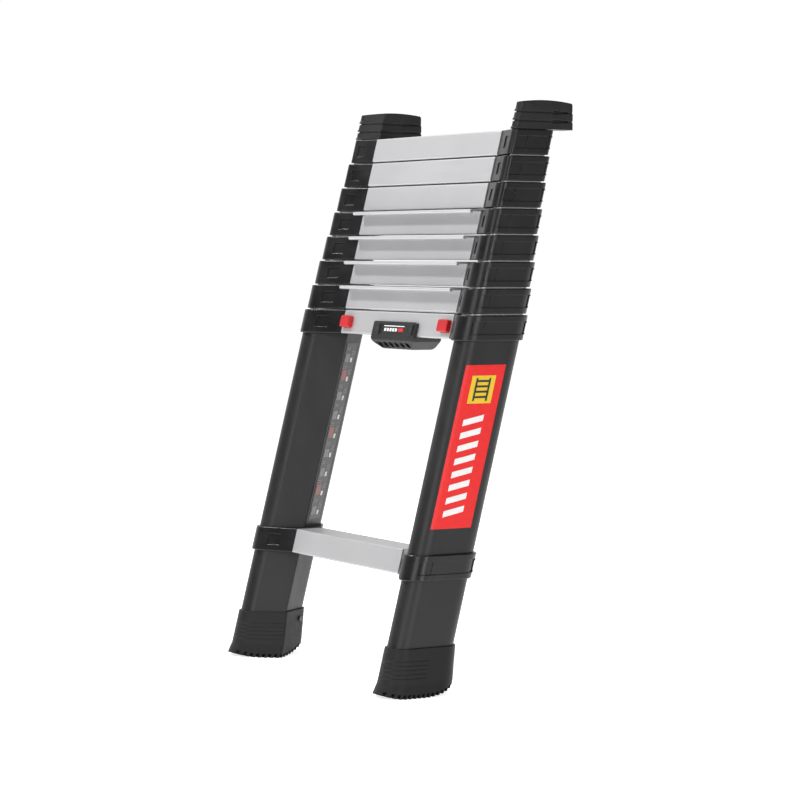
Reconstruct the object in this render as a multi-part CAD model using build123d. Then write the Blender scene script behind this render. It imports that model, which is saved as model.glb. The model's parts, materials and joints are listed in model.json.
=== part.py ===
from build123d import *
import os
from math import asin, atan, cos, degrees, hypot, radians, sin, sqrt

# A telescoping ladder, closed, in the pose it is used in: it leans on a wall with its
# soles flat on the floor. +Z is up, the climber stands on the -Y side, the wall is on
# the +Y side. Every horizontal section is the same shape all the way up a stile, moved
# back by LEAN for each millimetre of height, so treads, collars and soles are level, and
# the fronts of treads and collars lean with the stiles.

# ---- driving dimensions, mm ----
LEAN = 0.25                       # run for each unit of rise: the four to one rule
SLOPE = hypot(1, LEAN)            # length along a stile for each unit of height
LEAN_ANGLE = degrees(atan(LEAN))
STEP_PITCH = 300 / SLOPE          # height between treads when extended
STACK_PITCH = 32.8                # height between treads when closed
TRAVEL_RISE = STEP_PITCH - STACK_PITCH
SECTIONS = 8                      # tube pairs, the lowest one fixed
STILE_X = 186.0                   # stile axis to the middle of the ladder
FIRST_TREAD = 141.3               # underside of the lowest tread
TREAD_HEIGHT = 31.2

# tube section: flat outer face, two big corners and a blunt apex facing the treads
OUTER_FLAT = 30.0
CORNER_X = 10.0
CORNER_Y = 24.0
CORNER_R = 20.0
APEX_HALF_ANGLE = radians(55)
APEX_R = 3.0
NEST_STEP = 2.6                   # from one tube's outside to the next one's
WALL = 1.6
TUBE_OVERLAP = 104.0              # height of tube left inside when extended

# collars
COLLAR_WALL = 4.0
COLLAR_GAP = 0.1
TOP_LIP = 1.6
COLLAR_EDGE_R = 1.3
COLLAR_NOSE_R = 2.0               # plan corners where a collar meets the tread
BAND_DEPTH = 1.2
BAND_LOW = 7.5
BAND_HIGH = 23.3
WINDOW_DEPTH = 2.2                # the deeper part at the front end of the band
WINDOW_LENGTH = 17.0
RIB_PROUD = 0.8
RIB_THICK = 1.6
PANEL_DEPTH = 1.2
PANEL_HEIGHT = 14.5
PLUG_LENGTH = 14.0

# treads
TREAD_HALF_DEPTH = 20.0
TREAD_HALF_LENGTH = 139.0
TREAD_GROWTH = 2.5                # each tread reaches this much further at each end
TREAD_WALL = 2.0
LIP_REACH = 13.0
LIP_THICK = 3.0
LIP_NOSE_R = 2.4
LIPPED_TREADS = (3, 4, 5, 6)

# latches
PIN_R = 4.0
PIN_CLEAR = 0.15
PIN_STANDOFF = 0.5
HOLE_R = 4.6

# release buttons, on the front of the second tread
BUTTON_X = 125.0
BUTTON_W = 24.0
BUTTON_H = 16.0
BUTTON_PROUD = 6.5
BUTTON_TRAVEL = 4.0
BUTTON_CLEAR = 0.3
FLANGE_EDGE = 1.4
FLANGE_THICK = 1.6

# carrying grip under the second tread
GRIP_X = 5.0
GRIP_LENGTH = 109.0
GRIP_PLATE = 4.0
GRIP_PLATE_TOP = 18.5             # above the tread's underside
GRIP_DROP = 17.0
GROOVE_PITCH = 14.0
GROOVE_R = 4.0
GRIP_SCREWS = (-42.0, 42.0)
BOSS_W = 13.0
BOSS_H = 15.0
BOSS_PROUD = 1.4
BADGE_W = 60.0
BADGE_H = 12.0
BADGE_Z = 8.5                     # its middle, above the tread's underside

# feet
FOOT_TOP = 60.0
FOOT_LEVELS = ((0.0, 7.6, 1.4), (17.0, 5.6, 3.4), (60.0, 2.6, 0.0))  # height, growth, set back
ROCKER_FLAT = (-17.0, 5.0)        # the level strip under the foot, front and rear ends
ROCKER_R = 100.0
HEEL_R = 7.0
TOOTH_PITCH = 6.6
TOOTH_WIDTH = 3.4
TOOTH_HEIGHT = 5.0
TOOTH_LEAN = 2.6                  # how far back a gap's top is from its mouth
TOOTH_GAPS = 15
FOOT_FLOOR = 14.0                 # rubber under the tube's end
RIVET_R = 2.2
RIVET_Z = 47.0

# wall end caps
CAP_HEIGHT = 33.0
CAP_CROWN = 3.2
CAP_CROWN_FRONT = 24.0            # where the crown starts, ahead of the stile's axis
CAP_EDGE_R = 1.0
CAP_REAR_Y = 231.5
CAP_REAR_R = 3.0
CAP_SPIGOT = 24.0
CAP_GAP = 0.6
GROOVE_DEPTH = 1.4
GROOVE_HEIGHT = 1.7


def tread_bottom(tread):
    """Height of a tread's underside. Tread 1 is the lowest, and tread 2 ends the fixed tubes."""
    if tread == 1:
        return FIRST_TREAD
    return FIRST_TREAD + STEP_PITCH + (tread - 2) * STACK_PITCH


def tread_half_length(tread):
    return TREAD_HALF_LENGTH + max(tread - 2, 0) * TREAD_GROWTH


def inset(section):
    """How far a section's tube is nested inside the fixed tube."""
    return (section - 1) * NEST_STEP


def oblique(sketch, low, high):
    """A horizontal section drawn about a stile's axis, run from one height to another."""
    placed = Pos(0, low * LEAN, low) * sketch
    return extrude(placed, amount=(high - low) * SLOPE, dir=(0, LEAN, 1))


def slanted_reach(depth):
    """Distance of the tube's slanted faces from its axis, for a tube inset by depth."""
    across = CORNER_Y * cos(APEX_HALF_ANGLE) - CORNER_X * sin(APEX_HALF_ANGLE)
    return across + CORNER_R - depth


def apex_x(depth):
    """Inward end of the rounded apex, as a distance from the stile's axis."""
    sharp = slanted_reach(depth) / sin(APEX_HALF_ANGLE)
    return sharp - APEX_R / sin(APEX_HALF_ANGLE) + APEX_R


def tube_section(depth):
    """The tube's outline, inset by depth from the fixed tube's outside."""
    flat = OUTER_FLAT - depth
    reach = slanted_reach(depth)
    corner = (reach + sin(APEX_HALF_ANGLE) * flat) / cos(APEX_HALF_ANGLE)
    apex = -reach / sin(APEX_HALF_ANGLE)
    outline = make_face(Polyline((flat, -corner), (flat, corner), (apex, 0), close=True))
    rounded = fillet(outline.vertices().sort_by(Axis.X)[-2:], max(CORNER_R - depth, 1.0))
    return fillet(rounded.vertices().sort_by(Axis.Y).sort_by(Axis.X)[:1], APEX_R)


def both_sides(right):
    """A right-hand piece drawn about its stile's axis, put in place with its mirror image."""
    placed = Pos(STILE_X, 0, 0) * right
    return [placed, mirror(placed, about=Plane.YZ)]


def bar_x(radius, x_start, x_end, y, z):
    """A round bar along X."""
    middle = (x_start + x_end) / 2
    return Pos(middle, y, z) * Rot(0, 90, 0) * Cylinder(radius, abs(x_end - x_start))


def latch_height(tread):
    return tread_bottom(tread) + TREAD_HEIGHT / 2


def tube(section):
    """One right-hand tube with its latch holes."""
    top = tread_bottom(section + 1) + TREAD_HEIGHT - TOP_LIP - COLLAR_GAP
    low = tread_bottom(2) + TREAD_HEIGHT - TRAVEL_RISE - TUBE_OVERLAP
    bottom = FOOT_FLOOR if section == 1 else low + (section - 2) * STACK_PITCH
    depth = inset(section)
    body = oblique(tube_section(depth), bottom, top) - oblique(tube_section(depth + WALL), bottom, top)
    holes = []
    if section < SECTIONS:
        holes.append(latch_height(section + 1))
    if section > 1:
        holes.append(latch_height(section))
        holes.append(latch_height(section) - TRAVEL_RISE)
    for z in holes:
        body -= bar_x(HOLE_R, -apex_x(depth) - 5, -apex_x(depth) + 8, z * LEAN, z)
    if section == 1:
        body -= rivet_place() * Cylinder(RIVET_R + 0.1, 40)
    return body


def collar_outline(section, tread, grow):
    """A collar's outside: the tube's corners and apex drawn in to the end of the tread."""
    depth = inset(section)
    radius = max(CORNER_R - depth, 1.0) + COLLAR_WALL + grow
    shift = CORNER_R - depth - max(CORNER_R - depth, 1.0)
    end = tread_half_length(tread) - STILE_X
    half = TREAD_HALF_DEPTH - 0.8 + grow
    corners = [Pos(CORNER_X + shift, y) * Circle(radius) for y in (-CORNER_Y, CORNER_Y)]
    socket = Pos(end + 3 - grow, 0) * RectangleRounded(6, 2 * half, COLLAR_NOSE_R)
    edges = corners[0].edges() + corners[1].edges() + socket.edges()
    return make_hull(edges)


def collar(section, tread):
    """One right-hand collar, with its recessed band, ribs, panel, tread plug and latch bore."""
    low = tread_bottom(tread)
    high = low + TREAD_HEIGHT
    depth = inset(section)
    body = oblique(collar_outline(section, tread, 0), low, high)
    ends = body.edges().group_by(Axis.Z)
    body = fillet(ends[0] + ends[-1], COLLAR_EDGE_R)
    body += collar_ribs(section, tread)
    body -= collar_band(section, tread)
    end = tread_half_length(tread) - STILE_X
    z = latch_height(tread)
    body += tread_plug(tread)
    tube_top = high if tread == 1 else high - TOP_LIP
    body -= oblique(tube_section(depth - COLLAR_GAP), low, tube_top)
    if tread > 1:
        body -= oblique(tube_section(depth + WALL + 0.3), low, high)
        body -= bar_x(PIN_R + PIN_CLEAR, end - 40, -apex_x(depth) + 6, z * LEAN, z)
    return body - front_panel(section, tread)


def collar_reach(section):
    """How far a collar's rounded corners reach in front of the stile's axis."""
    return CORNER_Y + max(CORNER_R - inset(section), 1.0) + COLLAR_WALL


def collar_band(section, tread):
    """The recess along a collar's outer side, with a deeper window at its front end."""
    low = tread_bottom(tread)
    reach = collar_reach(section)
    around = collar_outline(section, tread, 3)
    ahead = Pos(60, 100 - reach * 0.80) * Rectangle(100, 200)
    shallow = (around - collar_outline(section, tread, -BAND_DEPTH)) & ahead
    shallow &= Pos(60, reach * 0.84 - 100) * Rectangle(100, 200)
    ahead &= Pos(60, WINDOW_LENGTH - 100 - reach * 0.80) * Rectangle(100, 200)
    deep = (around - collar_outline(section, tread, -WINDOW_DEPTH)) & ahead
    bottom, top = low + BAND_LOW, low + BAND_HIGH
    return oblique(shallow, bottom, top) + oblique(deep, bottom, top)


def collar_ribs(section, tread):
    """Two short ribs round a collar's rear outer corner."""
    low = tread_bottom(tread)
    corner = Pos(60, 100 + collar_reach(section) * 0.84) * Rectangle(110, 200)
    ring = (collar_outline(section, tread, RIB_PROUD) - collar_outline(section, tread, -1)) & corner
    ribs = oblique(ring, low + BAND_LOW, low + BAND_LOW + RIB_THICK)
    return ribs + oblique(ring, low + BAND_HIGH - RIB_THICK, low + BAND_HIGH)


def tread_plug(tread):
    """The block on a collar that the hollow tread is pushed over."""
    end = tread_half_length(tread) - STILE_X
    z = latch_height(tread)
    rise = TREAD_HEIGHT / 2 - TREAD_WALL - 0.2
    half = TREAD_HALF_DEPTH - TREAD_WALL - 0.3
    front = -half
    if tread == 2:                # room for the release button's flange
        front = (TREAD_WALL + 2 * BUTTON_CLEAR + FLANGE_THICK + BUTTON_TRAVEL) * SLOPE - TREAD_HALF_DEPTH
    plan = Pos(end - PLUG_LENGTH / 2 + 1, (front + half) / 2) * Rectangle(PLUG_LENGTH + 2, half - front)
    return oblique(plan, z - rise, z + rise)


def front_panel(section, tread):
    """A shallow rectangular recess in the collar's face that looks inward and forward."""
    nose = COLLAR_NOSE_R
    corner = max(CORNER_R - inset(section), 1.0)
    radius = corner + COLLAR_WALL - nose
    shift = CORNER_R - inset(section) - corner
    dx = STILE_X + CORNER_X + shift - tread_half_length(tread) - nose
    dy = CORNER_Y + nose - (TREAD_HALF_DEPTH - 0.8)
    span = hypot(dx, dy)
    bend = atan(dy / dx) + asin(radius / span)
    length = sqrt(span * span - radius * radius)
    along = 0.66 * length
    z = latch_height(tread)
    x = tread_half_length(tread) - STILE_X + nose + along * cos(bend) - nose * sin(bend)
    y = -(TREAD_HALF_DEPTH - 0.8 - nose) - along * sin(bend) - nose * cos(bend)
    plan = Pos(x, y) * Rot(0, 0, -degrees(bend)) * Rectangle(0.40 * length, 2 * PANEL_DEPTH)
    return oblique(plan, z - PANEL_HEIGHT / 2, z + PANEL_HEIGHT / 2)


def leaning(*points):
    """Points (y, z) about the middle of a tread, moved so that upright sides lean with the stiles."""
    return Polyline(*[(y + z * LEAN, z) for y, z in points], close=True)


def tread_front(x, z):
    """A frame on the front of the treads, square to the leaning face."""
    return Pos(x, z * LEAN - TREAD_HALF_DEPTH, z) * Rot(-LEAN_ANGLE, 0, 0)


def tread_profile(tread):
    """A tread's section in the YZ plane, about the middle of its box."""
    half_d = TREAD_HALF_DEPTH
    half_h = TREAD_HEIGHT / 2
    outline = leaning((-half_d, -half_h), (half_d, -half_h), (half_d, half_h), (-half_d, half_h))
    solid = make_face(outline)
    solid = fillet(solid.vertices(), 2.0)
    if tread in LIPPED_TREADS:
        nose = -half_d - LIP_REACH + LIP_NOSE_R
        root = -half_d + half_h * LEAN + 4
        lip = Pos((nose + root) / 2, half_h - LIP_THICK / 2) * Rectangle(root - nose, LIP_THICK)
        solid = solid + lip + Pos(nose, half_h - LIP_NOSE_R) * Circle(LIP_NOSE_R)
    in_d = half_d - TREAD_WALL
    in_h = half_h - TREAD_WALL
    solid -= make_face(leaning((-in_d, -in_h), (in_d, -in_h), (in_d, in_h), (-in_d, in_h)))
    for i in range(7):
        solid -= Pos(half_h * LEAN - 15 + 5 * i, half_h) * Rectangle(1.6, 1.2)
    return solid


def tread(number):
    """A hollow tread between two collars."""
    half = tread_half_length(number)
    z = latch_height(number)
    body = extrude(Plane.YZ * tread_profile(number), amount=half, both=True)
    body = Pos(0, z * LEAN, z) * body
    if number == 2:
        for sign in (-1, 1):
            hole = Box(BUTTON_W + 2 * BUTTON_CLEAR, 3 * TREAD_WALL, BUTTON_H + 2 * BUTTON_CLEAR)
            hole = fillet(hole.edges().filter_by(Axis.Y), 3.2)
            body -= tread_front(sign * BUTTON_X, z) * hole
        for x in GRIP_SCREWS:
            place = tread_front(GRIP_X + x, tread_bottom(2)) * Pos(0, 0, BADGE_Z)
            body -= place * Rot(90, 0, 0) * Cylinder(1.7, 8)
    return body


def button(sign):
    """A release button: a crowned block through the tread's front, kept in by a flange behind it."""
    back = TREAD_WALL + BUTTON_CLEAR
    block = Box(BUTTON_W, BUTTON_PROUD + back + FLANGE_THICK, BUTTON_H)
    block = fillet(block.edges().filter_by(Axis.Y), 2.9)
    block = fillet(block.faces().sort_by(Axis.Y)[0].edges(), 1.6)
    block = Pos(0, (back + FLANGE_THICK - BUTTON_PROUD) / 2, 0) * block
    flange = Box(BUTTON_W + 2 * FLANGE_EDGE, FLANGE_THICK, BUTTON_H + 2 * FLANGE_EDGE)
    flange = Pos(0, back + FLANGE_THICK / 2, 0) * flange
    return tread_front(sign * BUTTON_X, latch_height(2)) * (block + flange)


def latch_pin(number):
    """The right-hand latch pin in a tread's end, drawn back clear of the tube that it locks."""
    z = latch_height(number)
    y = z * LEAN
    tip = -apex_x(inset(number)) - PIN_STANDOFF
    tail = tread_half_length(number) - STILE_X - PLUG_LENGTH - 6
    pin = bar_x(PIN_R, tail, tip, y, z)
    pin = chamfer(pin.faces().sort_by(Axis.X)[-1].edges(), 0.8)
    knob = bar_x(PIN_R + 2.4, tail - 4, tail, y, z)
    return pin + knob


def grip():
    """The carrying grip: a plate on the tread's front, and under it a bar with finger grooves."""
    low = tread_bottom(2)
    seat = tread_front(GRIP_X, low)
    plate = Pos(0, -GRIP_PLATE / 2 - 0.025, GRIP_PLATE_TOP / 2 - 3) * Box(
        GRIP_LENGTH, GRIP_PLATE - 0.05, GRIP_PLATE_TOP + 6
    )
    plate = fillet(plate.edges().filter_by(Axis.Y), 3.4)
    for x in GRIP_SCREWS:
        boss = fillet(Box(BOSS_W, 2 * BOSS_PROUD, BOSS_H).edges().filter_by(Axis.Y), 1.6)
        plate += Pos(x, -GRIP_PLATE, BADGE_Z) * boss
    face = low * LEAN - TREAD_HALF_DEPTH - GRIP_PLATE
    rear = face + GRIP_PLATE + 2 * TREAD_HALF_DEPTH - 2
    half = GRIP_LENGTH / 2
    ends = Polyline(
        (-half, 0), (half, 0), (half - 2, -6), (half - 17, -GRIP_DROP),
        (-half + 17, -GRIP_DROP), (-half + 2, -6), close=True,
    )
    ends = make_face(ends)
    ends = fillet(ends.vertices().group_by(Axis.Y)[0], 8)
    side = Polyline(
        (face, 0), (rear, 0), (rear - 2, -GRIP_DROP), (face + 9, -GRIP_DROP), (face - 1, -7),
        close=True,
    )
    side = make_face(side)
    side = fillet(side.vertices().group_by(Axis.Y)[0] + side.vertices().group_by(Axis.Y)[1], 5)
    bar = Pos(GRIP_X, 0, low - 0.05) * extrude(Plane.YZ * side, amount=half, both=True)
    bar &= Pos(GRIP_X, 0, low - 0.05) * extrude(Plane.XZ * ends, amount=200, both=True)
    for i in range(6):
        groove = Pos(GRIP_X + (i - 2.5) * GROOVE_PITCH, face, low - 11.5) * Rot(90 + 12, 0, 0)
        bar -= groove * Cylinder(GROOVE_R, 120)
    body = seat * plate + bar
    for x in GRIP_SCREWS:
        place = seat * Pos(x, -GRIP_PLATE - BOSS_PROUD, BADGE_Z) * Rot(90, 0, 0)
        body -= place * Cylinder(3.3, 3.2)
        body -= place * Cylinder(1.7, 24)
    return body - seat * Pos(0, -GRIP_PLATE, BADGE_Z) * Box(BADGE_W, 3.2, BADGE_H)


def grip_badge():
    """The blank insert in the grip's window."""
    badge = Box(BADGE_W - 0.6, 1.2, BADGE_H - 0.6)
    return tread_front(GRIP_X, tread_bottom(2)) * Pos(0, 1.0 - GRIP_PLATE, BADGE_Z) * badge


def grip_screws():
    """Two screws that hold the grip on the tread's front."""
    seat = 1.6 - GRIP_PLATE - BOSS_PROUD
    screws = []
    for x in GRIP_SCREWS:
        head = Pos(0, seat - 0.75, 0) * Rot(90, 0, 0) * Cylinder(3.0, 1.5)
        shank = Pos(0, (seat + 6) / 2, 0) * Rot(90, 0, 0) * Cylinder(1.5, 6 - seat)
        slot = Pos(0, seat - 1.5, 0) * Box(4.4, 1.0, 0.9)
        place = tread_front(GRIP_X + x, tread_bottom(2)) * Pos(0, 0, BADGE_Z)
        screws.append(place * (head + shank - slot))
    return screws


def foot_growth(z):
    """How much wider than the tube a foot is at a height, and how far it is set back."""
    for (low, grow_low, back_low), (high, grow_high, back_high) in zip(FOOT_LEVELS, FOOT_LEVELS[1:]):
        if z <= high:
            part = (z - low) / (high - low)
            return grow_low + part * (grow_high - grow_low), back_low + part * (back_high - back_low)
    return FOOT_LEVELS[-1][1:]


def foot_section(z):
    grow, back = foot_growth(z)
    return Pos(0, z * LEAN + back, z) * tube_section(-grow)


def sole_rise(y):
    """Height of the rocker's underside: level in the middle, rising to the toe and the heel."""
    past = max(ROCKER_FLAT[0] - y, y - ROCKER_FLAT[1], 0)
    return ROCKER_R - sqrt(ROCKER_R * ROCKER_R - past * past)


def sole_side():
    """The rocker sole's outline seen from the side, much taller than the foot."""
    toe, heel = -60.0, CORNER_Y + CORNER_R + foot_growth(10)[0] + foot_growth(10)[1] + 10 * LEAN - 0.5
    front, rear = ROCKER_FLAT
    toe_middle, heel_middle = (toe + front) / 2, (heel + rear) / 2
    edges = [
        ThreePointArc((toe, sole_rise(toe)), (toe_middle, sole_rise(toe_middle)), (front, 0)),
        Line((front, 0), (rear, 0)),
        ThreePointArc((rear, 0), (heel_middle, sole_rise(heel_middle)), (heel, sole_rise(heel))),
        Line((heel, sole_rise(heel)), (heel + 12, FOOT_TOP + 20)),
        Line((heel + 12, FOOT_TOP + 20), (toe, FOOT_TOP + 20)),
        Line((toe, FOOT_TOP + 20), (toe, sole_rise(toe))),
    ]
    side = make_face(edges)
    corner = side.vertices().sort_by_distance((heel, sole_rise(heel)))[0]
    return fillet(corner, HEEL_R)


def foot():
    """A right-hand rubber foot: a socket for the tube, flaring to a toothed rocker sole."""
    body = loft([foot_section(z) for z, grow, back in FOOT_LEVELS], ruled=True)
    body &= extrude(Plane.YZ * sole_side(), amount=80, both=True)
    body -= oblique(tube_section(-COLLAR_GAP), FOOT_FLOOR - COLLAR_GAP, FOOT_TOP)
    for i in range(TOOTH_GAPS):
        y = (i - (TOOTH_GAPS - 2) / 2) * TOOTH_PITCH - (TOOTH_WIDTH + TOOTH_LEAN) / 2
        low = sole_rise(y + TOOTH_WIDTH / 2)
        top = low + TOOTH_HEIGHT
        end = y + TOOTH_WIDTH
        slot = Polyline(
            (y - TOOTH_LEAN, low - TOOTH_HEIGHT), (end - TOOTH_LEAN, low - TOOTH_HEIGHT),
            (end + TOOTH_LEAN, top), (y + TOOTH_LEAN, top), close=True,
        )
        body -= extrude(Plane.YZ * make_face(slot), amount=80, both=True)
    for i in range(5):
        z = 24 + 5.2 * i
        grow, back = foot_growth(z)
        ring = tube_section(-grow - 2) - tube_section(-grow + 0.4)
        ring &= Pos(0, -50) * Rectangle(200, 100)
        body -= oblique(Pos(0, back) * ring, z, z + 1.4)
    return body - rivet_place() * Cylinder(RIVET_R + 0.1, 40)


def rivet_place():
    """Where the rivet goes through a foot's rear inner face, square to it."""
    grow, back = foot_growth(RIVET_Z)
    reach = slanted_reach(-grow)
    along = 20.0
    x = along * cos(APEX_HALF_ANGLE) - reach * sin(APEX_HALF_ANGLE)
    y = along * sin(APEX_HALF_ANGLE) + reach * cos(APEX_HALF_ANGLE)
    place = Pos(x, y + RIVET_Z * LEAN + back, RIVET_Z)
    return place * Rot(0, 0, 90 + degrees(APEX_HALF_ANGLE)) * Rot(0, 90, 0)


def foot_rivet():
    """A domed rivet through a foot and its tube."""
    shank = Pos(0, 0, -4) * Cylinder(RIVET_R, 9)
    head = fillet((Pos(0, 0, 1.3) * Cylinder(4.0, 1.6)).edges().sort_by(Axis.Z)[-1:], 0.9)
    return rivet_place() * (shank + head)


def cap_outline(grow, front_grow):
    """A wall end cap's plan: round the tube in front, straight-sided towards the wall."""
    radius = CORNER_R - inset(SECTIONS) + COLLAR_WALL
    front = Pos(CORNER_X - 1, -CORNER_Y - front_grow) * Circle(radius + grow)
    apex = Pos(-11.5, -7) * Circle(3.5 + grow)
    rear_in = Pos(-10.5, 62) * Circle(3.5 + grow)
    rear_out = Pos(8.5, 62) * Circle(3.5 + grow)
    return make_hull(front.edges() + apex.edges() + rear_in.edges() + rear_out.edges())


def cap():
    """A right-hand end cap: three tiers, a crowned top, side slots, and a spigot into the top tube."""
    low = tread_bottom(SECTIONS + 1) + TREAD_HEIGHT + CAP_GAP
    tier = CAP_HEIGHT / 3
    body = oblique(cap_outline(-GROOVE_DEPTH, 0), low, low + CAP_HEIGHT)
    for i in range(3):
        z = low + i * tier
        body += oblique(cap_outline(0, 1.4), z, z + 2.4)
        top = z + tier + CAP_CROWN + 1 if i == 2 else z + tier - GROOVE_HEIGHT
        body += oblique(cap_outline(0, 0.4), z + 2.4, top)
    body &= Pos(0, CAP_REAR_Y - 150, low) * Box(200, 300, 200)
    chord = CAP_REAR_Y - low * LEAN + CAP_CROWN_FRONT
    crown_r = (chord * chord / 4 + CAP_CROWN * CAP_CROWN) / (2 * CAP_CROWN)
    middle = (0, CAP_REAR_Y - chord / 2, low + CAP_HEIGHT + CAP_CROWN - crown_r)
    body &= Pos(*middle) * Rot(0, 90, 0) * Cylinder(crown_r, 200)
    for z in (low + tier - GROOVE_HEIGHT / 2, low + 2 * tier - GROOVE_HEIGHT / 2):
        slot = Polyline((0, 0), (5, -2.2), (25, -0.9), (28, 0), (25, 0.9), (5, 2.2), close=True)
        cutter = Pos(0, CAP_REAR_Y - 34, z) * extrude(Plane.YZ * make_face(slot), amount=80, both=True)
        keep = Pos(-1, CAP_REAR_Y - 40, z) * Box(18, 90, 20)
        body -= cutter - keep
    rear_top = body.edges().filter_by(Axis.X).group_by(Axis.Y)[-1].sort_by(Axis.Z)[-1]
    body = fillet(rear_top, CAP_REAR_R)
    crown = body.faces().filter_by(GeomType.CYLINDER).sort_by(SortBy.AREA)[-1]
    body = fillet(crown.edges(), CAP_EDGE_R)
    spigot = tube_section(inset(SECTIONS) + WALL + 0.5)
    return body + oblique(spigot, low - CAP_SPIGOT, low)


def sole_front():
    """How far forward the toes reach."""
    y = 0.0
    for _ in range(20):
        grow, back = foot_growth(sole_rise(y))
        y = sole_rise(y) * LEAN + back - CORNER_Y - CORNER_R - grow
    return y


def write(name, solids):
    """One STEP file for a node, moved so that the origin is under the middle of the ladder."""
    middle = (CAP_REAR_Y + sole_front()) / 2
    pieces = solids if isinstance(solids, list) else [solids]
    bodies = [s for piece in pieces for s in (Pos(0, -middle, 0) * piece).solids()]
    shape = bodies[0] if len(bodies) == 1 else Compound(children=bodies)
    shape.label = name
    export_step(shape, f"parts/{name}.step")


def main():
    os.makedirs("parts", exist_ok=True)
    for section in range(1, SECTIONS + 1):
        write(f"tubes_{section}", both_sides(tube(section)))
    for number in range(1, SECTIONS + 2):
        section = max(number - 1, 1)
        right, left = both_sides(collar(section, number))
        write(f"collar_right_{number}", right)
        write(f"collar_left_{number}", left)
        write(f"tread_{number}", tread(number))
    for number in range(2, SECTIONS + 1):
        right, left = both_sides(latch_pin(number))
        write(f"latch_pin_right_{number}", right)
        write(f"latch_pin_left_{number}", left)
    for name, right in (("foot", foot()), ("end_cap", cap())):
        placed, mirrored = both_sides(right)
        write(f"{name}_right", placed)
        write(f"{name}_left", mirrored)
    write("foot_rivets", both_sides(foot_rivet()))
    write("release_button_right", button(1))
    write("release_button_left", button(-1))
    write("carry_grip", grip())
    write("grip_badge", grip_badge())
    write("grip_screws", grip_screws())


main()
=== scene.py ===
import json
from math import atan, cos, radians, sin

import bmesh
import bpy
from mathutils import Matrix, Vector


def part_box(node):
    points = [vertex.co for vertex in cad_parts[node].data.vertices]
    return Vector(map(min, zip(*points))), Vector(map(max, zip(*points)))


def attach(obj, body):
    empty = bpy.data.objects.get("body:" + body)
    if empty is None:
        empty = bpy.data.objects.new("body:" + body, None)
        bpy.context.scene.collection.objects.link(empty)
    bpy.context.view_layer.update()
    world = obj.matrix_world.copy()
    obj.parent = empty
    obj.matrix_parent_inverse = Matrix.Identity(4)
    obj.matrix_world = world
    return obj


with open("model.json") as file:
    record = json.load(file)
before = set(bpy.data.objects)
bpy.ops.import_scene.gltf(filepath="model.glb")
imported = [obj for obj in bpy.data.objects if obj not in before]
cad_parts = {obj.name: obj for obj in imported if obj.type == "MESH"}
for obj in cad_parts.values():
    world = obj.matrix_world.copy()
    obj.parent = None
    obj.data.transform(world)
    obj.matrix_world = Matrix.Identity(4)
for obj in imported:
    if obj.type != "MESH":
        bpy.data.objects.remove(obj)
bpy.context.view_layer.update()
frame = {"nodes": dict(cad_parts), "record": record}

# ---------------------------------------------------------------- the stiles, in metres
# The ladder leans back by LEAN for each metre of height, and every level cut through a
# stile is the same outline. A point on a stile is given by its place in that outline.
LEAN = 0.25
OUTER_FLAT = 0.030
CORNER = Vector((0.010, 0.024))
CORNER_R = 0.020
HALF_ANGLE = radians(55)


def stile_axis():
    """X of the right stile's axis, and Y of both axes on the floor."""
    low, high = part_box("tubes_1")
    back = high.y - CORNER.y - CORNER_R
    return high.x - OUTER_FLAT, back - high.z * LEAN


STILE_X, STILE_Y = stile_axis()


def on_outer_face(s, z, lift):
    """A point on the right stile's outer face: s runs back along it, round its front corner."""
    if s >= -CORNER.y:
        x, y = OUTER_FLAT + lift, s
    else:
        turn = (-CORNER.y - s) / CORNER_R
        x = CORNER.x + (CORNER_R + lift) * cos(turn)
        y = -CORNER.y - (CORNER_R + lift) * sin(turn)
    return Vector((STILE_X + x, STILE_Y + y + z * LEAN, z))


def on_inner_face(s, z, lift):
    """A point on the left stile's rear inner face: s runs out and back from the face's middle."""
    reach = CORNER.y * cos(HALF_ANGLE) - CORNER.x * sin(HALF_ANGLE) + CORNER_R + lift
    x = reach * sin(HALF_ANGLE) - s * cos(HALF_ANGLE)
    y = reach * cos(HALF_ANGLE) + s * sin(HALF_ANGLE)
    return Vector((-STILE_X + x, STILE_Y + y + z * LEAN, z))


# ---------------------------------------------------------------- materials
def new_material(name, colour, roughness, metallic=0.0, specular=0.5):
    """A material with its plain values on the shader's own sockets, its node tree and the shader."""
    mat = bpy.data.materials.new(name)
    mat.use_nodes = True
    shader = mat.node_tree.nodes["Principled BSDF"]
    shader.inputs["Base Color"].default_value = (*colour, 1)
    shader.inputs["Roughness"].default_value = roughness
    shader.inputs["Metallic"].default_value = metallic
    shader.inputs["Specular IOR Level"].default_value = specular
    return mat, mat.node_tree, shader


def coordinates(tree, scale):
    """Object coordinates, stretched by scale along each axis."""
    source = tree.nodes.new("ShaderNodeTexCoord")
    mapping = tree.nodes.new("ShaderNodeMapping")
    mapping.inputs["Scale"].default_value = scale
    tree.links.new(source.outputs["Object"], mapping.inputs["Vector"])
    return mapping.outputs["Vector"]


def noise(tree, scale, size, detail=3.0):
    node = tree.nodes.new("ShaderNodeTexNoise")
    node.inputs["Scale"].default_value = size
    node.inputs["Detail"].default_value = detail
    tree.links.new(coordinates(tree, scale), node.inputs["Vector"])
    return node.outputs["Fac"]


def mapped(tree, value, low, high):
    """A 0 to 1 texture value brought to the range low to high."""
    node = tree.nodes.new("ShaderNodeMapRange")
    node.inputs["From Min"].default_value = 0.3
    node.inputs["From Max"].default_value = 0.7
    node.inputs["To Min"].default_value = low
    node.inputs["To Max"].default_value = high
    tree.links.new(value, node.inputs["Value"])
    return node.outputs["Result"]


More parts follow.
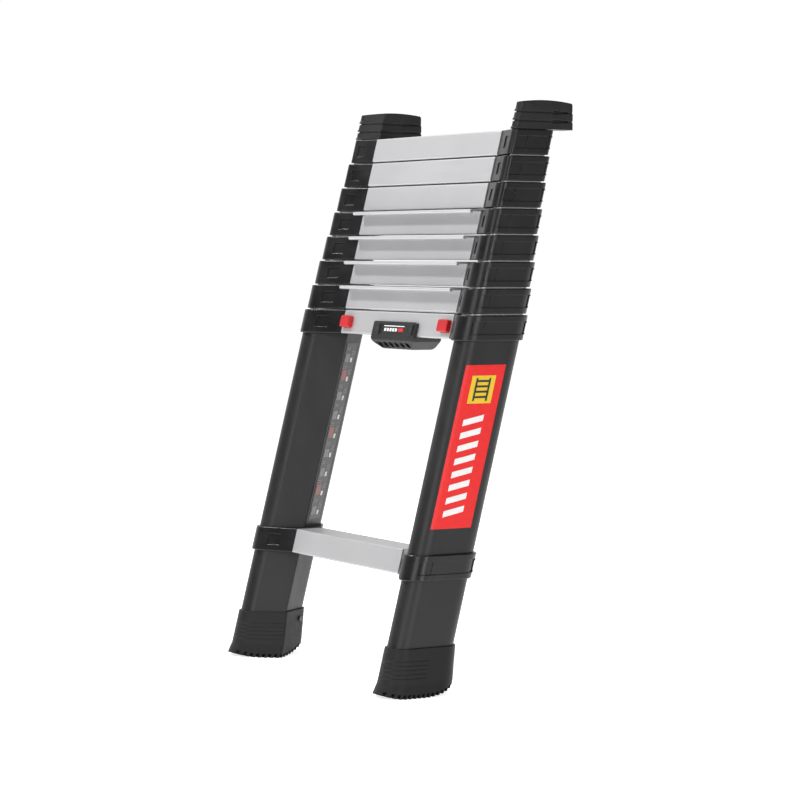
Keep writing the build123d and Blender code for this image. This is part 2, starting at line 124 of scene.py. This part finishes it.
def tinted(tree, value, dark, light):
    """A colour between dark and light, by a texture value."""
    node = tree.nodes.new("ShaderNodeValToRGB")
    node.color_ramp.elements[0].position = 0.3
    node.color_ramp.elements[0].color = (*dark, 1)
    node.color_ramp.elements[1].position = 0.7
    node.color_ramp.elements[1].color = (*light, 1)
    tree.links.new(value, node.inputs["Fac"])
    return node.outputs["Color"]


def bumped(tree, shader, layers, edge=0.0):
    """Bump from several (texture value, strength, distance in metres) layers, over softened edges."""
    normal = None
    if edge:
        soft = tree.nodes.new("ShaderNodeBevel")
        soft.samples = 4
        soft.inputs["Radius"].default_value = edge
        normal = soft.outputs["Normal"]
    for value, strength, distance in layers:
        bump = tree.nodes.new("ShaderNodeBump")
        bump.inputs["Strength"].default_value = strength
        bump.inputs["Distance"].default_value = distance
        tree.links.new(value, bump.inputs["Height"])
        if normal:
            tree.links.new(normal, bump.inputs["Normal"])
        normal = bump.outputs["Normal"]
    tree.links.new(normal, shader.inputs["Normal"])


def black_coat():
    """Satin black powder coat on the fixed tubes, with a fine orange peel and faint rubbing."""
    dark, light = (0.006, 0.006, 0.007), (0.011, 0.011, 0.012)
    mat, tree, shader = new_material("black_coat", (0.008, 0.008, 0.009), 0.38)
    peel = noise(tree, (1, 1, 1), 900, 2)
    rubbed = noise(tree, (3, 3, 1), 14, 6)
    tree.links.new(tinted(tree, rubbed, dark, light), shader.inputs["Base Color"])
    tree.links.new(mapped(tree, rubbed, 0.38, 0.48), shader.inputs["Roughness"])
    bumped(tree, shader, [(peel, 0.12, 0.0004)])
    return mat


def brushed(name, colour, along, roughness):
    """Anodised aluminium with fine die lines along one axis, and slow changes of tone."""
    mat, tree, shader = new_material(name, colour, roughness, metallic=0.55)
    stretch = [160.0, 160.0, 160.0]
    stretch[along] = 1.5
    lines = noise(tree, tuple(stretch), 6, 3)
    cloud = noise(tree, (1, 1, 1), 9, 2)
    dark = tuple(c * 0.96 for c in colour)
    light = tuple(min(c * 1.03, 1) for c in colour)
    tree.links.new(tinted(tree, cloud, dark, light), shader.inputs["Base Color"])
    tree.links.new(mapped(tree, lines, roughness - 0.05, roughness + 0.06), shader.inputs["Roughness"])
    bumped(tree, shader, [(lines, 0.05, 0.0002)], edge=0.0006)
    return mat


def moulded(name, colour, roughness, grain, edge, specular=0.5):
    """Moulded plastic or rubber: a fine sandy grain, uneven sheen and rounded edges."""
    mat, tree, shader = new_material(name, colour, roughness, specular=specular)
    sand = noise(tree, (1, 1, 1), 1500, 2)
    cloud = noise(tree, (1, 1, 1), 40, 4)
    dark = tuple(c * 0.85 for c in colour)
    light = tuple(min(c * 1.2, 1) for c in colour)
    tree.links.new(tinted(tree, cloud, dark, light), shader.inputs["Base Color"])
    tree.links.new(mapped(tree, cloud, roughness - 0.05, roughness + 0.06), shader.inputs["Roughness"])
    bumped(tree, shader, [(sand, grain, 0.0003)], edge=edge)
    return mat


def printed(name, colour, roughness=0.3):
    """Ink or film: a nearly even colour with a faint paper mottle."""
    mat, tree, shader = new_material(name, colour, roughness)
    mottle = noise(tree, (1, 1, 1), 120, 4)
    dark = tuple(c * 0.94 for c in colour)
    light = tuple(min(c * 1.03, 1) for c in colour)
    tree.links.new(tinted(tree, mottle, dark, light), shader.inputs["Base Color"])
    bumped(tree, shader, [(mottle, 0.05, 0.0002)])
    return mat


def plated_steel(name, colour, roughness):
    mat, tree, shader = new_material(name, colour, roughness, metallic=1.0)
    grain = noise(tree, (1, 1, 1), 600, 3)
    tree.links.new(mapped(tree, grain, roughness - 0.08, roughness + 0.08), shader.inputs["Roughness"])
    bumped(tree, shader, [(grain, 0.1, 0.0002)], edge=0.0004)
    return mat


MATERIALS = {
    "black_tube": black_coat(),
    "bare_aluminium": brushed("inner_tube_metal", (0.60, 0.60, 0.61), 2, 0.34),
    "tread_aluminium": brushed("tread_metal", (0.58, 0.58, 0.59), 0, 0.40),
    "collar_plastic": moulded("collar_black", (0.006, 0.006, 0.007), 0.31, 0.10, 0.0010),
    "cap_plastic": moulded("cap_black", (0.010, 0.010, 0.011), 0.34, 0.14, 0.0014),
    "foot_rubber": moulded("foot_black", (0.008, 0.008, 0.0085), 0.52, 0.30, 0.0012, 0.35),
    "red_plastic": moulded("button_red", (0.50, 0.010, 0.014), 0.30, 0.06, 0.0012),
    "grip_plastic": moulded("grip_black", (0.008, 0.008, 0.009), 0.38, 0.20, 0.0012),
    "badge_plastic": moulded("badge_black", (0.012, 0.012, 0.013), 0.18, 0.02, 0.0004),
    "steel": plated_steel("zinc_steel", (0.62, 0.62, 0.63), 0.35),
    "dark_steel": plated_steel("black_steel", (0.10, 0.10, 0.105), 0.40),
    "label_red": printed("label_red", (0.80, 0.010, 0.010), 0.45),
    "label_white": printed("label_white", (0.86, 0.86, 0.85)),
    "label_yellow": printed("label_yellow", (0.80, 0.55, 0.02)),
    "label_dark": printed("label_dark", (0.02, 0.02, 0.022)),
    "print_back": printed("print_back", (0.030, 0.029, 0.029)),
    "print_grey": printed("print_grey", (0.15, 0.14, 0.14)),
    "print_white": printed("print_white", (0.62, 0.62, 0.62)),
    "print_red": printed("print_red", (0.24, 0.06, 0.05)),
}


def dress_cad_nodes():
    """Each CAD node takes the material of its slot in the record."""
    for part in frame["record"]["subparts"]:
        mesh = frame["nodes"][part["node"]].data
        mesh.materials.clear()
        mesh.materials.append(MATERIALS[part["material_slot"]])


# ---------------------------------------------------------------- stickers
# Heights are above the floor. Sides are front and rear edges, measured along the face.
STICKER_THICKNESS = 0.00025
STEP = 0.004                     # longest side of a film's faces
BACKING_LIFT = 0.0002            # how far films stand off the stile, in three layers
INK_LIFT = 0.0005
FIGURE_LIFT = 0.0008
MARK_LIFT = 0.0001               # and off the badge

LABEL_HEIGHTS = (0.204, 0.403)
LABEL_SIDES = (-0.0335, 0.0230)
BARS = 8
BAR_FRONT = -0.0215
BAR_REAR = 0.0065
BAR_RISE = 0.006
BAR_WIDTH = 0.0075
BAR_MARGIN = 0.014
BAR_PITCH = 0.0158
SQUARE_SIDES = (-0.022, 0.012)
SQUARE_HEIGHTS = (0.356, 0.390)
RAIL_FRONTS = (-0.0155, 0.0030)
RAIL_HEIGHTS = (0.359, 0.387)
RUNG_SIDES = (-0.013, 0.003)
RUNGS = 4
RUNG_LOW = 0.3625
RUNG_PITCH = 0.0065
FIGURE_LINE = 0.0025             # width of the ladder figure's rails and rungs

STRIP_SIDES = (-0.0125, 0.0205)
STRIP_HEIGHTS = (0.182, 0.418)
STRIP_MARGIN = 0.006
STRIP_PANELS = 9
BLOCK_SIDES = (-0.010, 0.0035)   # the column of blocks, and the column of lines beside it
LINES_FRONT = 0.0065
LINE_WIDTH = 0.0012
LINE_PITCH = 0.0026

BADGE_THICKNESS = 0.0012
BADGE_BLOCKS = 5
BADGE_BLOCK_PITCH = 0.115        # these three are parts of the badge's width
BADGE_BLOCK_WIDTH = 0.08
BADGE_BLOCKS_LEFT = 0.10
BADGE_BLOCK_HEIGHTS = (0.24, 0.60)   # parts of the badge's height


def rectangle(s0, s1, z0, z1):
    """The four corners of an upright rectangle, in order."""
    return [(s0, z0), (s1, z0), (s1, z1), (s0, z1)]


def piece_from(name, verts, faces, material, body):
    """A visible piece that rides on a body, in the given material."""
    mesh = bpy.data.meshes.new(name)
    mesh.from_pydata(verts, [], faces)
    mesh.materials.append(material)
    obj = bpy.data.objects.new(name, mesh)
    bpy.context.scene.collection.objects.link(obj)
    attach(obj, body)
    return obj


def film(name, place, corners, lift, material, body):
    """A thin closed film with four corners (s, z), in order, laid on a surface given by place."""
    a, b, c, d = [Vector(p) for p in corners]
    across = max(2, int((b - a).length / STEP))
    up = max(1, int((d - a).length / STEP))
    grid = []
    for layer in (lift, lift + STICKER_THICKNESS):
        for j in range(up + 1):
            for i in range(across + 1):
                u, v = i / across, j / up
                p = (a * (1 - u) + b * u) * (1 - v) + (d * (1 - u) + c * u) * v
                grid.append(place(p.x, p.y, layer))
    row = across + 1
    top = row * (up + 1)
    faces = []
    for j in range(up):
        for i in range(across):
            k = j * row + i
            faces.append((k, k + row, k + row + 1, k + 1))
            faces.append((top + k, top + k + 1, top + k + row + 1, top + k + row))
    rim = [(i, 0) for i in range(across)] + [(across, j) for j in range(up)]
    rim += [(i, up) for i in range(across, 0, -1)] + [(0, j) for j in range(up, 0, -1)]
    ring = [j * row + i for i, j in rim]
    for k, here in enumerate(ring):
        there = ring[(k + 1) % len(ring)]
        faces.append((here, there, top + there, top + here))
    obj = piece_from(name, grid, faces, material, body)
    mend_normals(obj)
    return obj


def mend_normals(obj):
    """Turns every face of a closed piece outward."""
    mesh = bmesh.new()
    mesh.from_mesh(obj.data)
    bmesh.ops.recalc_face_normals(mesh, faces=mesh.faces)
    mesh.to_mesh(obj.data)
    mesh.free()


def joined(name, parts):
    """Several films made into one piece."""
    bpy.ops.object.select_all(action="DESELECT")
    for part in parts:
        part.select_set(True)
    bpy.context.view_layer.objects.active = parts[0]
    bpy.ops.object.join()
    parts[0].name = name
    return parts[0]


def label(side):
    """The sticker on a stile's outer face: a red panel, white bars and a ladder on a yellow square."""
    red = MATERIALS["label_red"]
    white = MATERIALS["label_white"]
    yellow = MATERIALS["label_yellow"]
    dark = MATERIALS["label_dark"]

    def place(s, z, lift):
        p = on_outer_face(s, z, lift)
        return Vector((p.x * side, p.y, p.z))

    low, high = LABEL_HEIGHTS
    tag = "right" if side > 0 else "left"

    def panel(name, s0, s1, z0, z1, lift, material):
        return film(name, place, rectangle(s0, s1, z0, z1), lift, material, "base")

    panel(f"label_{tag}", *LABEL_SIDES, low, high, BACKING_LIFT, red)
    bars = []
    for i in range(BARS):
        z0 = low + BAR_MARGIN + i * BAR_PITCH
        front_edge = [(BAR_FRONT, z0 + BAR_WIDTH), (BAR_FRONT, z0)]
        rear_edge = [(BAR_REAR, z0 + BAR_RISE), (BAR_REAR, z0 + BAR_RISE + BAR_WIDTH)]
        corners = front_edge + rear_edge
        bars.append(film(f"bar_{i}", place, corners, INK_LIFT, white, "base"))
    joined(f"label_bars_{tag}", bars)
    panel(f"label_square_{tag}", *SQUARE_SIDES, *SQUARE_HEIGHTS, INK_LIFT, yellow)
    lines = []
    for s in RAIL_FRONTS:
        lines.append(panel(f"rail_{s}", s, s + FIGURE_LINE, *RAIL_HEIGHTS, FIGURE_LIFT, dark))
    for i in range(RUNGS):
        z0 = RUNG_LOW + RUNG_PITCH * i
        lines.append(panel(f"rung_{i}", *RUNG_SIDES, z0, z0 + FIGURE_LINE, FIGURE_LIFT, dark))
    joined(f"label_ladder_{tag}", lines)


def print_strip():
    """The strip of small print on the left stile's inner face, as plain blocks and lines."""
    low, high = STRIP_HEIGHTS
    block_front = BLOCK_SIDES[0]
    parts = {"grey": [], "white": [], "red": []}

    def block(kind, s0, s1, z0, z1):
        corners = rectangle(s0, s1, z0, z1)
        name = f"{kind}_{len(parts[kind])}"
        ink = MATERIALS[f"print_{kind}"]
        parts[kind].append(film(name, on_inner_face, corners, INK_LIFT, ink, "base"))

    corners = rectangle(*STRIP_SIDES, low, high)
    back = MATERIALS["print_back"]
    film("print_strip", on_inner_face, corners, BACKING_LIFT, back, "base")
    pitch = (high - low - STRIP_MARGIN) / STRIP_PANELS
    for i in range(STRIP_PANELS):
        z = low + 0.004 + i * pitch
        if i % 3 == 1:
            block("red", *BLOCK_SIDES, z + 0.003, z + pitch * 0.66)
        else:
            block("grey", *BLOCK_SIDES, z + 0.002, z + pitch * 0.52)
        block("white", LINES_FRONT, 0.0120, z + 0.0015, z + 0.0075)
        for k in range(3):
            z0 = z + 0.0105 + LINE_PITCH * k
            rear = 0.0185 - 0.0015 * ((i + k) % 3)
            block("grey", LINES_FRONT, rear, z0, z0 + LINE_WIDTH)
        for k in range(2):
            z0 = z + pitch * 0.74 + LINE_PITCH * k
            block("grey", block_front, 0.001 - 0.001 * (k % 2), z0, z0 + LINE_WIDTH)
    for kind, films in parts.items():
        joined(f"print_{kind}_blocks", films)


def badge_marks():
    """The blank marks on the grip's badge: a thin white line, white blocks and a red block."""
    low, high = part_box("grip_badge")
    lean = atan(LEAN)
    foot = Vector((0, low.y, low.z + BADGE_THICKNESS * sin(lean)))
    height = (high.z - foot.z) / cos(lean)

    def place(x, s, lift):
        return foot + Vector((x, s * sin(lean) - lift * cos(lean), s * cos(lean) + lift * sin(lean)))

    def mark(name, u0, u1, v0, v1, material):
        """A mark whose edges are given as parts of the badge's width and height."""
        width = high.x - low.x
        corners = rectangle(low.x + u0 * width, low.x + u1 * width, v0 * height, v1 * height)
        return film(name, place, corners, MARK_LIFT, material, "base")

    paper = MATERIALS["label_white"]
    white = [mark("line", 0.06, 0.94, 0.80, 0.90, paper)]
    for i in range(BADGE_BLOCKS):
        left = BADGE_BLOCKS_LEFT + BADGE_BLOCK_PITCH * i
        right = left + BADGE_BLOCK_WIDTH
        white.append(mark(f"block_{i}", left, right, *BADGE_BLOCK_HEIGHTS, paper))
    joined("badge_white_marks", white)
    mark("badge_red_mark", 0.70, 0.90, *BADGE_BLOCK_HEIGHTS, MATERIALS["label_red"])


# ---------------------------------------------------------------- floor, light and camera
FLOOR_REACH = 60.0               # far enough to meet the horizon in every view
FLOOR_GLOW = 0.75


def floor():
    """A white floor that glows a little, so that it is as pale as the room behind it."""
    mesh = bpy.data.meshes.new("floor")
    far = FLOOR_REACH
    corners = [(-far, -far, 0), (far, -far, 0), (far, far, 0), (-far, far, 0)]
    mesh.from_pydata(corners, [], [(0, 1, 2, 3)])
    obj = bpy.data.objects.new("floor", mesh)
    bpy.context.scene.collection.objects.link(obj)
    mat, _, shader = new_material("floor_white", (0.95, 0.95, 0.95), 0.9, specular=0.1)
    shader.inputs["Emission Color"].default_value = (1, 1, 1, 1)
    shader.inputs["Emission Strength"].default_value = FLOOR_GLOW
    mesh.materials.append(mat)


def area_light(name, place, aim, size, power):
    """A rectangular light at a place, turned towards a point."""
    data = bpy.data.lights.new(name, "AREA")
    data.shape = "RECTANGLE"
    data.size, data.size_y = size
    data.energy = power
    obj = bpy.data.objects.new(name, data)
    obj.location = place
    obj.rotation_euler = (Vector(aim) - Vector(place)).to_track_quat("-Z", "Y").to_euler()
    bpy.context.scene.collection.objects.link(obj)


AZIMUTH = radians(59.68)
ELEVATION = radians(3.04)
ROLL = radians(0.29)
DISTANCE = 3.434
FOCAL_WIDTHS = 3.318             # focal length, in widths of the picture
ROOM_BEHIND = 0.15               # brightness of the room behind the camera, and beyond
ROOM_BEYOND = 1.02


def camera():
    """A long lens from the front and right, level with the middle of the ladder."""
    aim = Vector((0.0074, STILE_Y + 0.095, 0.3498))
    back = Vector((sin(AZIMUTH) * cos(ELEVATION), -cos(AZIMUTH) * cos(ELEVATION), sin(ELEVATION)))
    right = Vector((cos(AZIMUTH), sin(AZIMUTH), 0))
    up = back.cross(right)
    level = right * cos(ROLL) + up * sin(ROLL)
    upright = up * cos(ROLL) - right * sin(ROLL)
    data = bpy.data.cameras.new("camera")
    data.sensor_width = 36
    data.lens = FOCAL_WIDTHS * data.sensor_width
    obj = bpy.data.objects.new("camera", data)
    turn = Matrix((level, upright, back)).transposed().to_4x4()
    obj.matrix_world = Matrix.Translation(aim + back * DISTANCE) @ turn
    bpy.context.scene.collection.objects.link(obj)
    bpy.context.scene.camera = obj


def studio_world():
    """A white room beyond the ladder, darker behind the camera so that dark pieces keep their depth."""
    world = bpy.data.worlds.new("studio")
    bpy.context.scene.world = world
    world.use_nodes = True
    tree = world.node_tree
    direction = tree.nodes.new("ShaderNodeTexCoord").outputs["Generated"]
    facing = tree.nodes.new("ShaderNodeVectorMath")
    facing.operation = "DOT_PRODUCT"
    facing.inputs[1].default_value = (-sin(AZIMUTH), cos(AZIMUTH), 0)
    tree.links.new(direction, facing.inputs[0])
    fade = tree.nodes.new("ShaderNodeMapRange")
    fade.inputs["From Min"].default_value = 0.25
    fade.inputs["From Max"].default_value = 0.85
    fade.inputs["To Min"].default_value = ROOM_BEHIND
    fade.inputs["To Max"].default_value = ROOM_BEYOND
    tree.links.new(facing.outputs["Value"], fade.inputs["Value"])
    background = tree.nodes["Background"]
    background.inputs["Color"].default_value = (1, 1, 1, 1)
    tree.links.new(fade.outputs["Result"], background.inputs["Strength"])


def lights():
    """A high light for the treads, tall ones for the corners and outer faces, and one overhead."""
    area_light("tread_light", (-1.5, -1.7, 2.9), (0, 0, 0.45), (0.5, 0.5), 80)
    area_light("corner_light", (1.45, -2.5, 1.0), (0, 0, 0.45), (0.9, 2.0), 17)
    area_light("face_light", (3.0, -0.6, 0.9), (0, 0, 0.45), (0.5, 1.8), 16)
    area_light("top_light", (0.2, -0.4, 3.0), (0, 0, 0.4), (1.2, 1.2), 12)


bpy.context.scene.view_settings.view_transform = "Standard"
studio_world()
camera()
floor()
lights()
dress_cad_nodes()
label(1)
label(-1)
print_strip()
badge_marks()

bpy.context.view_layer.update()
